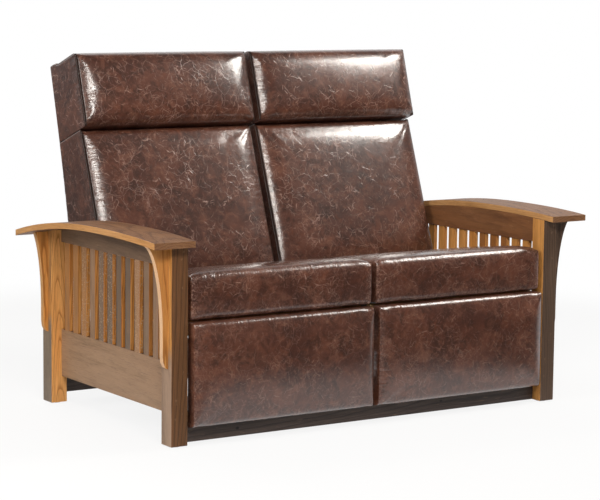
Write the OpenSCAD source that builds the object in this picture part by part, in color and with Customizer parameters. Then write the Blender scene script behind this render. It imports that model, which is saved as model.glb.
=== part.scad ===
// Reclining loveseat: a bow-arm wooden frame that carries two leather seats.
// Each seat slides forward as its back reclines, and has a folding footrest.
// Millimetres. +X is to the right as seen from the front, +Y to the back, +Z up.
// The origin is on the floor, in the middle of the width and of the depth.

/* [Wooden frame] */
// Clear width between the left legs and the right legs
inside_w = 1329; // [1200:1:1500]
// Width of a leg across the front
leg_w = 55; // [45:1:70]
// Depth of a leg from front to back
leg_d = 59; // [48:1:75]
// Gap between the front leg and the rear leg of one side
leg_span = 712; // [660:1:780]
// Thickness of the side rails and the aprons
rail_t = 19; // [15:0.5:24]
// Height of the side rail's lower edge above the floor
side_rail_z = 88; // [70:1:100]
// Height of the side rail
side_rail_h = 153; // [120:1:180]
// Height of the apron's straight lower edge above the floor
apron_z = 522; // [480:1:530]
// Number of slats in each side
slat_count = 12; // [8:1:16]
// Width of a slat
slat_w = 32; // [24:1:38]
// Thickness of a slat
slat_t = 13; // [8:0.5:16]

/* [Bow arms] */
// Thickness of the arm board
arm_t = 19; // [15:0.5:25]
// How far the arm board stands out past the leg's outer face
arm_overhang = 82; // [80:1:95]
// How far the arm board reaches in front of the front leg
arm_front_reach = 43; // [25:1:70]
// How far the arm board reaches behind the rear leg
arm_rear_reach = 30; // [15:1:60]
// Height of the arm's top at its highest point
arm_crest_z = 623.5; // [600:0.5:650]
// Distance of the highest point behind the front leg's face
arm_crest_y = 275; // [200:1:350]
// How much lower the arm's top is at the front end
arm_front_drop = 11; // [6:0.5:20]
// How much lower the arm's top is at the rear end
arm_rear_drop = 64.5; // [50:0.5:70]

/* [Corbels] */
// Thickness of a corbel
corbel_t = 19; // [14:0.5:25]
// How far a front corbel stands out at its top
corbel_top_w = 79; // [60:1:80]
// How far its straight lower part stands out
corbel_low_w = 18; // [12:1:30]
// Height where the curve meets the straight part
corbel_curve_z = 330; // [300:1:400]
// Height where the straight part ends
corbel_foot_z = 270; // [240:1:320]
// Height of the rounded lower end
corbel_foot_h = 38; // [20:1:60]

/* [Rails near the floor] */
// Height of the floor glides under the legs
glide_h = 3; // [2:0.5:6]
// Radius of a floor glide
glide_r = 18; // [10:1:21]
// Height of the front rail
front_rail_h = 57; // [45:1:65]
// Distance of the front rail behind the legs' front faces
front_rail_y = 38; // [37.5:0.5:39.5]
// Height of the cross rail's lower edge above the floor
cross_rail_z = 40; // [30:1:48]
// Height of the cross rail that carries the tracks
cross_rail_h = 52; // [46:1:53]
// Height of the rear rail's lower edge above the floor
rear_rail_z = 30; // [20:1:60]
// Height of the rear rail
rear_rail_h = 120; // [100:1:150]
// Distance of the rear rail behind the rear legs' front faces
rear_rail_y = 21; // [10:1:30]

/* [Tracks and side plates] */
// Height of a track's C section
track_h = 34; // [30:1:40]
// Width of a track's C section
track_w = 32; // [26:1:36]
// Sheet thickness of a track
track_wall = 2.5; // [2:0.5:4]
// Thickness of a steel side plate
plate_t = 4; // [3:0.5:5]
// Gap between an outer side plate and the legs
plate_leg_gap = 12.5; // [10:0.5:15]
// Gap between the inner side plates of the two seats
plate_mid_gap = 28; // [24:1:40]
// Length of a nylon glide block
block_l = 50; // [30:1:70]
// Distance of the front block behind the legs' front faces
front_block_y = 280; // [270:1:330]
// Distance of the rear block behind the legs' front faces
rear_block_y = 640; // [610:1:660]
// Gap round a glide block in its track
block_gap = 0.3; // [0.2:0.05:0.5]
// Gap round a turning pin in its bore
pin_gap = 0.05; // [0.03:0.01:0.08]

/* [Seats] */
// Gap between the two seats
seat_gap = 20; // [14:1:26]
// Gap between a seat's outer side and the legs
seat_side_gap = 17; // [14:0.5:26]
// Height of the seat's front edge
seat_top_z = 506; // [490:1:520]
// Height of the front of the cushion
seat_front_h = 131; // [120:1:140]
// Length of the cushion from front to back
seat_len = 546; // [520:1:560]
// Slope of the seat towards the back, in degrees
seat_slope = 7.5; // [6.5:0.5:8.5]
// Height of the crown on the seat's top
seat_crown = 9; // [0:1:14]
// Height of the wooden seat rails
seat_rail_h = 45; // [35:1:50]
// Thickness of the wooden seat rails
seat_rail_t = 22; // [16:1:26]
// Distance of the front seat rail behind the seat's front
seat_rail_inset = 50; // [48:1:60]
// Length of the wooden seat frame
seat_frame_len = 472; // [440:1:472]
// Number of webbing straps under a cushion
strap_count = 6; // [4:1:8]
// Width of a webbing strap
strap_w = 60; // [40:1:64]
// Thickness of a webbing strap
strap_t = 2; // [1.5:0.5:3]

/* [Backs] */
// Gap between the seat cushion's length and the back's lower front edge
back_seat_gap = 7; // [6:1:12]
// Height of the back's lower front edge
back_foot_z = 436; // [430:1:450]
// Lean of the back's front face, in degrees
back_lean = 20; // [16:0.5:22]
// Gap between a back's outer side and the legs
back_side_gap = 26; // [24:0.5:32]
// Length of the lower back cushion
back_len = 476; // [440:1:520]
// Thickness of the lower back cushion
back_t = 105; // [80:1:110]
// Height of the crown on the back cushion
back_crown = 12; // [0:1:18]
// Height of the headrest cushion
headrest_h = 241; // [215:1:260]
// Gap between the headrest and the lower cushion
headrest_gap = 4; // [2:0.5:8]
// How far the headrest's lower edge stands in front of the back
headrest_low_proud = 36; // [20:1:42]
// How far the headrest's upper edge stands in front of the back
headrest_top_proud = 48; // [28:1:54]
// Depth of the back at its lower end
back_foot_depth = 246; // [225:1:260]
// Depth of the back at its upper end
back_top_depth = 147; // [144:1:170]
// Hollow of the back's rear face
back_rear_hollow = 10; // [0:1:14]
// How far the outside back reaches below the cushion
outside_drop = 60; // [45:1:75]
// Thickness of the leather-covered outside back
outside_t = 8; // [5:0.5:9]
// Thickness of the leather-covered side panels
side_panel_t = 6; // [4:0.5:8]
// Width of a wooden back post
post_w = 40; // [30:1:50]
// Depth of a wooden back post
post_d = 30; // [24:1:31]
// Height of a wooden back rail
back_rail_h = 60; // [40:1:80]

/* [Back hinges] */
// Distance of the hinge behind the back's front face
hinge_n = 57; // [50:1:60]
// Distance of the hinge below the back cushion
hinge_drop = 34; // [32:1:38]
// Radius of the hinge pin
hinge_r = 8; // [6:0.5:9]
// Radius of the side plate round the hinge pin
hinge_eye_r = 26; // [20:1:28]
// Thickness of a back bracket
bracket_t = 4; // [3:0.5:5]

/* [Footrests] */
// Height of the footrest's lower edge when it is folded
footrest_z = 53; // [48:1:58]
// Height of the footrest panel
footrest_h = 314; // [300:1:318]
// How far the folded footrest stands in front of the legs
footrest_proud = 15; // [5:1:25]
// Thickness of the footrest's padding
footrest_pad_t = 38; // [30:1:38]
// Height of the crown on the footrest's face
footrest_crown = 8; // [0:1:14]
// Thickness of the footrest's board
footrest_board_t = 12; // [9:1:13]
// Length of a lift link between its pivots
lift_len = 170; // [168:1:172]
// Length of a carry link between its pivots
carry_len = 190; // [188:1:192]
// Thickness of a link
link_t = 5; // [4:0.5:5]
// Half the width of a link
link_r = 12; // [10:0.5:13]
// Radius of the rivets at the links' ends
rivet_r = 6; // [4:0.5:7]
// Side gap between a link and its neighbour
link_gap = 0.5; // [0.3:0.1:0.6]
// Distance of the lift pivot behind the front legs' faces
lift_y = 140; // [138:1:142]
// Height of the lift pivot
lift_z = 285; // [283:1:287]
// Distance of the footrest pivot behind the front legs' faces
foot_y = 54; // [53:1:56]
// Height of the footrest pivot
foot_z = 230; // [228:1:232]
// Radius of the torque tube
tube_r = 11; // [10:0.5:13]

/* [Hidden] */
$fn = 64;

// One overrun for every cut
over = 1;

// Colours
dark_oak = "#5c4126";
mid_oak = "#8a5f3a";
pale_oak = "#a5703d";
hide = "#54382e";
pine = "#c9a26b";
steel = "#8b8d8f";
nylon = "#2b2b2c";
jute = "#b9a888";

// Places across the width: half widths from the middle of the loveseat
leg_in_x = inside_w/2;
leg_out_x = leg_in_x + leg_w;
rear_leg_y = leg_d + leg_span;
side_depth = rear_leg_y + leg_d;

// The arm's bow: a power curve from the crest to each end, sampled by arm_steps
bow_exponent = 2.3;
arm_steps = 14;
arm_front_len = arm_crest_y + arm_front_reach;
arm_rear_len = side_depth + arm_rear_reach - arm_crest_y;
arm_top_curve = concat(
    [for (i = [arm_steps:-1:1]) let (s = i/arm_steps)
        [arm_crest_y - arm_front_len*s, arm_crest_z - arm_front_drop*pow(s, bow_exponent)]],
    [for (i = [0:arm_steps]) let (s = i/arm_steps)
        [arm_crest_y + arm_rear_len*s, arm_crest_z - arm_rear_drop*pow(s, bow_exponent)]]);
arm_under_curve = [for (p = arm_top_curve) [p[0], p[1] - arm_t]];
function arm_under(y) = lookup(y, arm_under_curve);

// Seat units: u runs outwards from the middle of one seat's mechanism
plate_out_x = leg_in_x - plate_leg_gap;
mech_x = (plate_out_x + plate_mid_gap/2)/2;
plate_out_u = plate_out_x - mech_x;
plate_in_u = plate_out_u - plate_t;
lift_out_u = plate_in_u - link_gap;
carry_out_u = lift_out_u - link_t - link_gap;
ear_out_u = carry_out_u - link_t - link_gap;
track_out_u = ear_out_u - link_t;
seat_in_u = seat_gap/2 - mech_x;
seat_out_u = leg_in_x - seat_side_gap - mech_x;
back_out_u = leg_in_x - back_side_gap - mech_x;

// Heights of the tracks
track_z = cross_rail_z + cross_rail_h;
track_mid_z = track_z + track_h/2;
front_rail_z = glide_h + over;
cross_rail_y = front_rail_y + rail_t;
track_front_y = cross_rail_y;
track_rear_y = rear_leg_y + rear_rail_y;

// Seat cushion: the frame's top lies a strap and a gap below the cushion
rest_gap = 0.3;
seat_low_z = seat_top_z - seat_front_h;
seat_frame_z = seat_low_z - strap_t - rest_gap;

// The back's own axes: n points through the back to the rear, w up along its face
back_foot_y = seat_len + back_seat_gap;
function back_point(n, w) = [
    back_foot_y + n*cos(back_lean) + w*sin(back_lean),
    back_foot_z - n*sin(back_lean) + w*cos(back_lean)];
back_top_w = back_len + headrest_gap + headrest_h;
outside_low_w = -outside_drop;
function rear_share(w) = (w - outside_low_w)/(back_top_w + outside_t - outside_low_w);
function rear_n(w) = back_foot_depth + (back_top_depth - back_foot_depth)*rear_share(w)
    - back_rear_hollow*sin(180*rear_share(w));
hinge_point = back_point(hinge_n, -hinge_drop);

// The frame stands so that its depth is centred on the origin
rear_reach = back_point(rear_n(back_top_w + outside_t), back_top_w + outside_t)[0];
leg_front_y = (arm_front_reach - rear_reach)/2;

// Footrest linkage: the knee pivot is where the two links' lengths meet
lift_point = [lift_y, lift_z];
foot_point = [foot_y, foot_z];
reach = norm(foot_point - lift_point);
reach_dir = (foot_point - lift_point)/reach;
knee_along = (lift_len*lift_len - carry_len*carry_len + reach*reach)/(2*reach);
knee_off = sqrt(lift_len*lift_len - knee_along*knee_along);
knee_point = lift_point + knee_along*reach_dir + knee_off*[-reach_dir[1], reach_dir[0]];
board_y = footrest_pad_t - footrest_proud + rest_gap;
head_t = 1.5;
head_extra_r = 3;
ear_flange_w = 18;
ear_flange_t = 3;
ear_h = 142;
ear_below = 55;
ear_top_d = 10;

// Side plate outline values
plate_front_y = 70;
plate_front_low_z = 250;
plate_foot_front_y = 228;
plate_foot_rear_y = 676;
plate_foot_lift = 4;
plate_heel_h = 58;
plate_neck_z = 225;
plate_neck_y = 642;
plate_top_gap = 3;

// Glide block stub
stub_r = 10;
block_web_gap = 1;
block_lip_gap = 2;

// Back bracket values
bracket_arm_h = 38;
bracket_up = 130;
spacer_r = 12;
pin_head_t = 3;
pin_side_gap = 0.3;
seam_gap = 0.5;

// Soft form counts
form_stations = 9;
corner_steps = 3;
edge_steps = 4;

// Places each sub-part in the loveseat's frame, and each seat's parts on its own side
module on_floor() {
    translate([0, leg_front_y, 0]) children();
}
module right_side() {
    on_floor() children();
}
module left_side() {
    on_floor() mirror([1, 0, 0]) children();
}
module right_seat() {
    on_floor() translate([mech_x, 0, 0]) children();
}
module left_seat() {
    on_floor() mirror([1, 0, 0]) translate([mech_x, 0, 0]) children();
}
module both_plates() {
    for (side = [0, 1]) mirror([side, 0, 0]) children();
}

// Extrudes an outline drawn in Y and Z along X, from x0
module along_x(x0, thick) {
    translate([x0, 0, 0]) rotate([90, 0, 90]) linear_extrude(thick) children();
}
// A round bar along X through a point given in Y and Z
module bar_x(point, r, x0, x1) {
    translate([x0, point[0], point[1]]) rotate([0, 90, 0]) cylinder(r = r, h = x1 - x0);
}

// The outline below the arm board between two places, down to a level
module under_arm_outline(y0, y1, low_z) {
    polygon(concat(
        [[y1, low_z], [y0, low_z], [y0, arm_under(y0)]],
        [for (p = arm_under_curve) if (p[0] > y0 && p[0] < y1) p],
        [[y1, arm_under(y1)]]));
}

module leg(y0) {
    color(dark_oak) along_x(leg_in_x, leg_w) under_arm_outline(y0, y0 + leg_d, glide_h);
}

module side_rail() {
    color(mid_oak) translate([leg_in_x, leg_d, side_rail_z]) cube([rail_t, leg_span, side_rail_h]);
}

module arm_apron() {
    color(mid_oak) along_x(leg_in_x, rail_t) under_arm_outline(leg_d, rear_leg_y, apron_z);
}

module slats() {
    low_z = side_rail_z + side_rail_h;
    space = (leg_span - slat_count*slat_w)/(slat_count + 1);
    for (i = [0:slat_count - 1])
        color(pale_oak)
            translate([leg_in_x + rail_t - slat_t, leg_d + space + i*(slat_w + space), low_z])
                cube([slat_t, slat_w, apron_z - low_z]);
}

module arm_top() {
    rear_to_front = [for (i = [len(arm_under_curve) - 1:-1:0]) arm_under_curve[i]];
    color(mid_oak) along_x(leg_in_x, leg_w + arm_overhang)
        polygon(concat(arm_top_curve, rear_to_front));
}

// A corbel lies against the leg's outer face and flares out under the arm.
// All four follow one quarter ellipse, which the lower rear end of the arm cuts short.
corbel_curve_steps = 12;
module corbel(y0) {
    middle_y = y0 + leg_d/2;
    top_z = arm_under(leg_d/2);
    flare = [for (i = [0:corbel_curve_steps]) let (a = 90*i/corbel_curve_steps)
        [corbel_low_w + (corbel_top_w - corbel_low_w)*(1 - cos(a)),
            corbel_curve_z + (top_z - corbel_curve_z)*sin(a)]];
    foot = [for (i = [0:corner_steps]) let (a = 90*i/corner_steps)
        [corbel_low_w*sin(a), corbel_foot_z - corbel_foot_h*cos(a)]];
    color(pale_oak) intersection() {
        translate([leg_out_x, middle_y + corbel_t/2, 0]) rotate([90, 0, 0]) linear_extrude(corbel_t)
            polygon(concat([[0, top_z + corbel_t], [0, corbel_foot_z - corbel_foot_h]], foot, flare,
                [[corbel_top_w, top_z + corbel_t]]));
        along_x(leg_out_x - over, corbel_top_w + 2*over) under_arm_outline(y0, y0 + leg_d, 0);
    }
}

module front_rail() {
    color(dark_oak) translate([-leg_in_x, front_rail_y, front_rail_z])
        cube([inside_w, rail_t, front_rail_h]);
}

module cross_rail() {
    color(pine) translate([-leg_in_x, cross_rail_y, cross_rail_z])
        cube([inside_w, rail_t, cross_rail_h]);
}

module rear_rail() {
    color(dark_oak) translate([-leg_in_x, track_rear_y, rear_rail_z])
        cube([inside_w, rail_t, rear_rail_h]);
}

module floor_glides() {
    color(nylon) for (x = [-1, 1], y = [leg_d/2, rear_leg_y + leg_d/2])
        translate([x*(leg_in_x + leg_w/2), y, 0]) cylinder(r = glide_r, h = glide_h);
}

// C-section steel tracks, open towards the side plates
module tracks() {
    color(steel) both_plates()
        difference() {
            translate([track_out_u - track_w, track_front_y, track_z])
                cube([track_w, track_rear_y - track_front_y, track_h]);
            translate([track_out_u - track_w + track_wall, track_front_y - over, track_z + track_wall])
                cube([track_w, track_rear_y - track_front_y + 2*over, track_h - 2*track_wall]);
        }
}

module glide_blocks() {
    block_in_u = track_out_u - track_w + track_wall + block_web_gap;
    block_low_z = track_z + track_wall + block_gap;
    color(nylon) both_plates() for (y = [front_block_y, rear_block_y]) {
        translate([block_in_u, y - block_l/2, block_low_z])
            cube([track_out_u - block_lip_gap - block_in_u, block_l, 2*(track_mid_z - block_low_z)]);
        bar_x([y, track_mid_z], stub_r, track_out_u - block_lip_gap, plate_in_u);
    }
}

// Height of the seat frame's top at a place behind the seat's front
function seat_frame_top(y) = seat_frame_z - y*tan(seat_slope);

module side_plates() {
    eye_y = hinge_point[0];
    color(steel) both_plates() difference() {
        along_x(plate_in_u, plate_t) {
            polygon([
                [plate_front_y, plate_front_low_z],
                [plate_foot_front_y, track_z + plate_foot_lift],
                [plate_foot_rear_y, track_z + plate_foot_lift],
                [plate_foot_rear_y, track_z + plate_heel_h],
                [plate_neck_y, plate_neck_z],
                [eye_y + hinge_eye_r, hinge_point[1]],
                [eye_y - hinge_eye_r, hinge_point[1]],
                [eye_y - hinge_eye_r, seat_frame_top(eye_y - hinge_eye_r) - plate_top_gap],
                [plate_front_y, seat_frame_top(plate_front_y) - plate_top_gap]]);
            translate(hinge_point) circle(r = hinge_eye_r);
        }
        bar_x(hinge_point, hinge_r + pin_gap, plate_in_u - over, plate_out_u + over);
        bar_x(lift_point, hinge_r + pin_gap, plate_in_u - over, plate_out_u + over);
    }
}

// Wooden seat frame, tilted with the seat
module tilted_seat() {
    translate([0, 0, seat_frame_z]) rotate([-seat_slope, 0, 0]) children();
}

module seat_cross_rails() {
    color(pine) tilted_seat() for (v = [seat_rail_inset, seat_rail_inset + seat_frame_len - seat_rail_t])
        translate([-plate_in_u, v, -seat_rail_h]) cube([2*plate_in_u, seat_rail_t, seat_rail_h]);
}

module seat_side_rails() {
    color(pine) both_plates() tilted_seat()
        translate([plate_in_u - seat_rail_t, seat_rail_inset + seat_rail_t, -seat_rail_h])
            cube([seat_rail_t, seat_frame_len - 2*seat_rail_t, seat_rail_h]);
}

module seat_webbing() {
    pitch = 2*(plate_in_u - seat_rail_t)/strap_count;
    color(jute) tilted_seat() for (i = [0:strap_count - 1])
        translate([(i + 1/2)*pitch - plate_in_u + seat_rail_t - strap_w/2, seat_rail_inset, 0])
            cube([strap_w, seat_frame_len, strap_t]);
}

// Soft forms. A cushion is a closed skin through stations across its width.
// Its outline in Y and Z has rounded corners and a crown on each edge.
// An outline entry holds a point, its outward direction, its crown and how far the side pulls in.
function turn(v) = [v[1], -v[0]];
function unit(v) = v/norm(v);
function outline(corners, radii, crowns) = [
    for (i = [0:len(corners) - 1])
        let (
            count = len(corners),
            p = corners[i],
            q = corners[(i + 1)%count],
            back = unit(corners[(i + count - 1)%count] - p),
            ahead = unit(q - p),
            next = unit(corners[(i + 2)%count] - q),
            half = acos(back*ahead)/2,
            next_half = acos(next*(-ahead))/2,
            cut = radii[i]/tan(half),
            next_cut = radii[(i + 1)%count]/tan(next_half),
            middle = p + unit(back + ahead)*radii[i]/sin(half),
            start = p + ahead*cut,
            finish = q - ahead*next_cut)
        each concat(
            [for (k = [0:corner_steps]) let (
                s = k/corner_steps,
                b = pow(1 - s, 2)*(p + back*cut) + 2*s*(1 - s)*p + s*s*(p + ahead*cut))
                [b, unit(b - middle), 0, 0]],
            [for (k = [1:edge_steps - 1]) let (s = k/edge_steps, rise = sin(180*s))
                [start + (finish - start)*s, turn(ahead), crowns[i]*rise, rise]])
];

// The skin of one cushion from u0 to u1
module soft_form(rim, u0, u1, round_r, pull) {
    count = len(rim);
    middle_u = (u0 + u1)/2;
    half_w = (u1 - u0)/2;
    stations = [for (i = [-form_stations:form_stations]) sin(90*i/form_stations)];
    rings = [for (t = stations)
        let (
            a = abs(t),
            e = round_r/half_w,
            edge = max(0, (a - 1 + e)/e),
            inset = round_r*(1 - sqrt(max(0, 1 - edge*edge))),
            swell = pow(1 - a*a, 3/5))
        [for (r = rim)
            let (flat = r[0] + r[1]*(r[2]*swell - inset))
            [middle_u + t*half_w - sign(t)*pull*r[3]*pow(a, 4), flat[0], flat[1]]]];
    last = len(rings) - 1;
    points = concat(
        [for (ring = rings) each ring],
        [middle_of(rings[0]), middle_of(rings[last])]);
    walls = [for (i = [0:last - 1], k = [0:count - 1])
        let (m = (k + 1)%count, a = i*count, b = (i + 1)*count)
        each [[a + k, b + k, b + m], [a + k, b + m, a + m]]];
    caps = [for (k = [0:count - 1]) let (m = (k + 1)%count)
        each [[m, len(points) - 2, k], [last*count + k, len(points) - 1, last*count + m]]];
    polyhedron(points = points, faces = concat(walls, caps), convexity = 4);
}
function middle_of(ring) = [for (axis = [0:2]) sum_of([for (p = ring) p[axis]])/len(ring)];
function sum_of(list) = list*[for (item = list) 1];

seat_corner_r = 24;
seat_low_r = 12;
side_round = 16;
side_pull = 5;
module seat_cushion() {
    low_rear = [seat_len*cos(seat_slope), seat_low_z - seat_len*sin(seat_slope)];
    top_rear = low_rear + seat_front_h*[0, 1];
    rim = outline(
        [[0, seat_low_z], low_rear, top_rear, [0, seat_top_z]],
        [seat_low_r, seat_low_r, seat_corner_r, seat_corner_r],
        [0, 0, seat_crown, side_pull]);
    color(hide) soft_form(rim, seat_in_u, seat_out_u, side_round, side_pull);
}

back_corner_r = 22;
module back_cushion() {
    rim = outline(
        [back_point(0, 0), back_point(back_t, 0), back_point(back_t, back_len), back_point(0, back_len)],
        [back_corner_r, seat_low_r, seat_low_r, back_corner_r],
        [0, 0, 0, back_crown]);
    color(hide) soft_form(rim, seat_in_u, back_out_u, side_round, side_pull);
}

headrest_r = 20;
headrest_crown = 8;
module headrest_cushion() {
    low_w = back_len + headrest_gap;
    rim = outline(
        [back_point(-headrest_low_proud, low_w), back_point(back_t, low_w),
            back_point(back_t, back_top_w), back_point(-headrest_top_proud, back_top_w - headrest_gap)],
        [back_corner_r, seat_low_r, seat_low_r, headrest_r],
        [0, 0, headrest_crown, headrest_crown]);
    color(hide) soft_form(rim, seat_in_u, back_out_u, side_round, side_pull);
}

// Wooden back frame behind the cushions
frame_n = back_t + rest_gap;
post_top_w = back_top_w - outside_t/2;
module back_box(u0, u1, n0, n1, w0, w1) {
    along_x(u0, u1 - u0)
        polygon([back_point(n0, w0), back_point(n1, w0), back_point(n1, w1), back_point(n0, w1)]);
}
post_out_u = back_out_u - side_panel_t;
bracket_out_u = back_out_u + bracket_t;
post_in_u = -back_out_u;
module back_posts() {
    color(pine) back_box(post_out_u - post_w, post_out_u, frame_n, frame_n + post_d, 0, post_top_w);
    color(pine) back_box(post_in_u, post_in_u + post_w, frame_n, frame_n + post_d, 0, post_top_w);
}

module back_rails() {
    color(pine) for (w = [0, (post_top_w - back_rail_h)/2, post_top_w - back_rail_h])
        back_box(post_in_u + post_w, post_out_u - post_w, frame_n, frame_n + post_d, w, w + back_rail_h);
}

// The outside back follows the rear face and turns over the top of the posts
rear_steps = 8;
outside_top_w = back_top_w + outside_t;
module outside_back() {
    levels = [for (i = [0:rear_steps])
        outside_low_w + (outside_top_w - outside_low_w)*i/rear_steps];
    outer = [for (w = levels) back_point(rear_n(w), w)];
    inner = [for (i = [rear_steps:-1:0]) let (w = min(levels[i], back_top_w))
        back_point(rear_n(w) - outside_t, w)];
    color(hide) along_x(seat_in_u, back_out_u - seat_in_u)
        polygon(concat(outer, [back_point(frame_n, outside_top_w), back_point(frame_n, back_top_w)], inner));
}

side_panel_slope_n = 156;
module back_sides() {
    levels = [for (i = [0:rear_steps])
        outside_low_w + (back_top_w - seam_gap - outside_low_w)*i/rear_steps];
    rear = [for (w = levels) back_point(rear_n(w) - outside_t - seam_gap, w)];
    front = [back_point(frame_n, back_top_w - seam_gap), back_point(frame_n, 0),
        back_point(side_panel_slope_n, outside_low_w)];
    color(hide) for (u = [seat_in_u, back_out_u - side_panel_t])
        along_x(u, side_panel_t) polygon(concat(rear, front));
}

// Steel brackets carry the back on its hinge pins
module back_brackets() {
    color(steel) both_plates() {
        along_x(back_out_u, bracket_t) {
            polygon([
                back_point(hinge_n, -hinge_drop - bracket_arm_h/2),
                back_point(frame_n + post_d, -hinge_drop - bracket_arm_h/2),
                back_point(frame_n + post_d, bracket_up),
                back_point(frame_n, bracket_up),
                back_point(frame_n, -hinge_drop + bracket_arm_h/2),
                back_point(hinge_n, -hinge_drop + bracket_arm_h/2)]);
            translate(hinge_point) circle(r = bracket_arm_h/2);
        }
        bar_x(hinge_point, spacer_r, back_out_u + bracket_t/2, plate_in_u - pin_side_gap);
        bar_x(hinge_point, hinge_r, back_out_u + bracket_t/2, plate_out_u + pin_side_gap + pin_head_t);
        bar_x(hinge_point, spacer_r, plate_out_u + pin_side_gap, plate_out_u + pin_side_gap + pin_head_t);
    }
}

// Footrest: a padded board on two steel ears
foot_corner_r = 14;
module footrest_cushion() {
    rim = outline(
        [[-footrest_proud, footrest_z], [footrest_pad_t - footrest_proud, footrest_z],
            [footrest_pad_t - footrest_proud, footrest_z + footrest_h],
            [-footrest_proud, footrest_z + footrest_h]],
        [foot_corner_r, seat_low_r, seat_low_r, foot_corner_r],
        [0, 0, 0, footrest_crown]);
    color(hide) soft_form(rim, seat_in_u, seat_out_u, side_round, side_pull);
}

board_inset = 10;
module footrest_board() {
    color(pine) translate([seat_in_u + board_inset, board_y, footrest_z + board_inset])
        cube([seat_out_u - seat_in_u - 2*board_inset, footrest_board_t, footrest_h - 2*board_inset]);
}

module footrest_brackets() {
    rear_y = board_y + footrest_board_t;
    low_z = foot_z - ear_below;
    color(steel) both_plates() {
        along_x(ear_out_u - link_t, link_t) {
            polygon([
                [rear_y, low_z], [foot_y, foot_z - link_r], [foot_y + link_r, foot_z],
                [rear_y + ear_top_d, low_z + ear_h], [rear_y, low_z + ear_h]]);
            translate(foot_point) circle(r = link_r);
        }
        translate([ear_out_u - link_t - ear_flange_w, rear_y, low_z])
            cube([ear_flange_w + link_t, ear_flange_t, ear_h]);
        bar_x(foot_point, rivet_r, ear_out_u - link_t/2, carry_out_u + link_gap + head_t);
        bar_x(foot_point, rivet_r + head_extra_r, carry_out_u + link_gap, carry_out_u + link_gap + head_t);
    }
}

// A flat link between two points given in Y and Z, from x0
module link_bar(a, b, x0) {
    along = unit(b - a);
    across = link_r*turn(along);
    along_x(x0, link_t) {
        polygon([a + across, b + across, b - across, a - across]);
        translate(a) circle(r = link_r);
        translate(b) circle(r = link_r);
    }
}

module lift_links() {
    color(steel) both_plates() {
        difference() {
            link_bar(lift_point, knee_point, lift_out_u - link_t);
            bar_x(lift_point, hinge_r + pin_gap, lift_out_u - link_t - over, lift_out_u + over);
        }
        bar_x(knee_point, rivet_r, carry_out_u - link_t - link_gap - head_t, lift_out_u - link_t/2);
        bar_x(knee_point, rivet_r + head_extra_r,
            carry_out_u - link_t - link_gap - head_t, carry_out_u - link_t - link_gap);
    }
}

module carry_links() {
    color(steel) both_plates() difference() {
        link_bar(knee_point, foot_point, carry_out_u - link_t);
        for (p = [knee_point, foot_point])
            bar_x(p, rivet_r + pin_gap, carry_out_u - link_t - over, carry_out_u + over);
    }
}

// The torque tube turns in the side plates and joins the two lift links
journal_out = 2;
module torque_tube() {
    shoulder_u = lift_out_u - link_t - link_gap/2;
    color(steel) bar_x(lift_point, tube_r, -shoulder_u, shoulder_u);
    color(steel) bar_x(lift_point, hinge_r, -plate_out_u - journal_out, plate_out_u + journal_out);
}

left_side() leg(0);  // front_left_leg
right_side() leg(0);  // front_right_leg
left_side() leg(rear_leg_y);  // rear_left_leg
right_side() leg(rear_leg_y);  // rear_right_leg
left_side() side_rail();  // left_side_rail
right_side() side_rail();  // right_side_rail
left_side() arm_apron();  // left_arm_apron
right_side() arm_apron();  // right_arm_apron
left_side() slats();  // left_slats
right_side() slats();  // right_slats
left_side() arm_top();  // left_arm_top
right_side() arm_top();  // right_arm_top
left_side() corbel(0);  // front_left_corbel
right_side() corbel(0);  // front_right_corbel
left_side() corbel(rear_leg_y);  // rear_left_corbel
right_side() corbel(rear_leg_y);  // rear_right_corbel
on_floor() front_rail();
on_floor() cross_rail();
on_floor() rear_rail();
on_floor() floor_glides();
left_seat() tracks();  // left_tracks
right_seat() tracks();  // right_tracks
left_seat() seat_cushion();  // left_seat_cushion
right_seat() seat_cushion();  // right_seat_cushion
left_seat() seat_cross_rails();  // left_seat_cross_rails
right_seat() seat_cross_rails();  // right_seat_cross_rails
left_seat() seat_side_rails();  // left_seat_side_rails
right_seat() seat_side_rails();  // right_seat_side_rails
left_seat() seat_webbing();  // left_seat_webbing
right_seat() seat_webbing();  // right_seat_webbing
left_seat() side_plates();  // left_side_plates
right_seat() side_plates();  // right_side_plates
left_seat() glide_blocks();  // left_glide_blocks
right_seat() glide_blocks();  // right_glide_blocks
left_seat() back_cushion();  // left_back_cushion
right_seat() back_cushion();  // right_back_cushion
left_seat() headrest_cushion();  // left_headrest_cushion
right_seat() headrest_cushion();  // right_headrest_cushion
left_seat() back_posts();  // left_back_posts
right_seat() back_posts();  // right_back_posts
left_seat() back_rails();  // left_back_rails
right_seat() back_rails();  // right_back_rails
left_seat() outside_back();  // left_outside_back
right_seat() outside_back();  // right_outside_back
left_seat() back_sides();  // left_back_sides
right_seat() back_sides();  // right_back_sides
left_seat() back_brackets();  // left_back_brackets
right_seat() back_brackets();  // right_back_brackets
left_seat() footrest_cushion();  // left_footrest_cushion
right_seat() footrest_cushion();  // right_footrest_cushion
left_seat() footrest_board();  // left_footrest_board
right_seat() footrest_board();  // right_footrest_board
left_seat() footrest_brackets();  // left_footrest_brackets
right_seat() footrest_brackets();  // right_footrest_brackets
left_seat() lift_links();  // left_lift_links
right_seat() lift_links();  // right_lift_links
left_seat() torque_tube();  // left_torque_tube
right_seat() torque_tube();  // right_torque_tube
left_seat() carry_links();  // left_carry_links
right_seat() carry_links();  // right_carry_links
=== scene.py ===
"""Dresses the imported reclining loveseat: leather cushions, stained wood, steel, light and camera."""

import math

import bpy
import numpy as np
from mathutils import Matrix, Vector


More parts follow.
